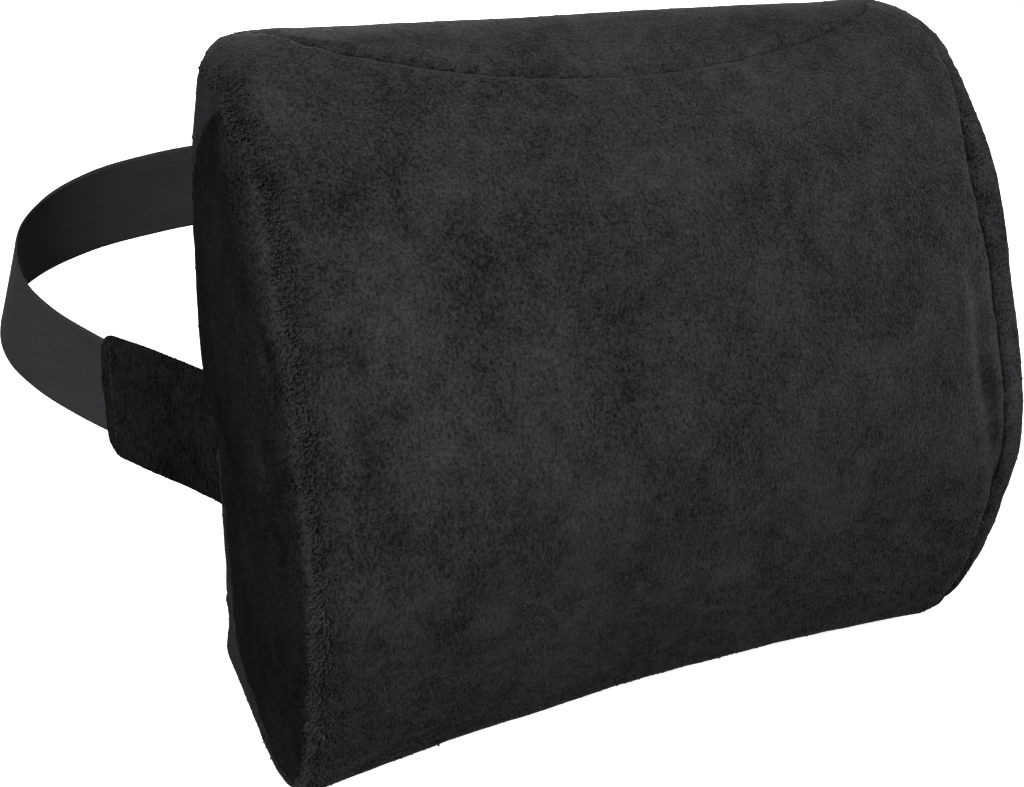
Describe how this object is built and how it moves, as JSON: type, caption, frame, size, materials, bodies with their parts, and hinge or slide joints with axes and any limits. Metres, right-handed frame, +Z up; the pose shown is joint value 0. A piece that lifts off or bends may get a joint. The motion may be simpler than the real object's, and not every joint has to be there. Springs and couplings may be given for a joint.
{
  "type": "lumbar support cushion",
  "caption": "Foam lumbar cushion with a hollowed front in a zipped velour cover, with an elastic strap loop that goes round a chair back.",
  "frame": {"origin": "middle of the flat base that the cushion stands on", "axes": "+X across the cushion, +Y towards the chair back and the strap, +Z up"},
  "size_m": [0.4914, 0.3514, 0.298],
  "materials": {
    "velour": "matte",
    "velour_side": "matte",
    "elastic": "satin",
    "liner_knit": "matte",
    "foam": "matte",
    "zip_tape": "matte",
    "zip_coil": "satin",
    "zip_metal": "satin",
    "thread": "matte"
  },
  "bodies": {
    "cushion": {"foam_core": "foam", "inner_liner": "liner_knit", "front_panel": "velour", "side_panel_left": "velour_side", "side_panel_right": "velour_side", "back_panel_upper": "velour", "back_panel_lower": "velour", "top_seam_thread": "thread", "zipper_tape_upper": "zip_tape", "zipper_tape_lower": "zip_tape", "zipper_coil_upper": "zip_coil", "zipper_coil_lower": "zip_coil", "zipper_top_stops": "zip_metal", "zipper_bottom_stop": "zip_metal"},
    "strap": {"elastic_strap": "elastic", "strap_tab_left": "velour", "strap_tab_right": "velour", "tab_stitches_left": "thread", "tab_stitches_right": "thread"},
    "slider": {"zipper_slider": "zip_metal"},
    "pull": {"zipper_pull": "zip_metal"}
  },
  "joints": [
    {"name": "strap_swing", "type": "hinge", "parent": "cushion", "child": "strap", "pos_m": [0, 0.05, 0.104], "axis": [1, 0, 0], "range_deg": [-65, 45]},
    {"name": "zipper_slide", "type": "slide", "parent": "cushion", "child": "slider", "axis": [-1, 0, 0], "range_m": [0, 0.266]},
    {"name": "pull_flip", "type": "hinge", "parent": "slider", "child": "pull", "pos_m": [0.13385, 0.05705, 0.04], "axis": [0, 0, -1], "range_deg": [0, 175]}
  ]
}
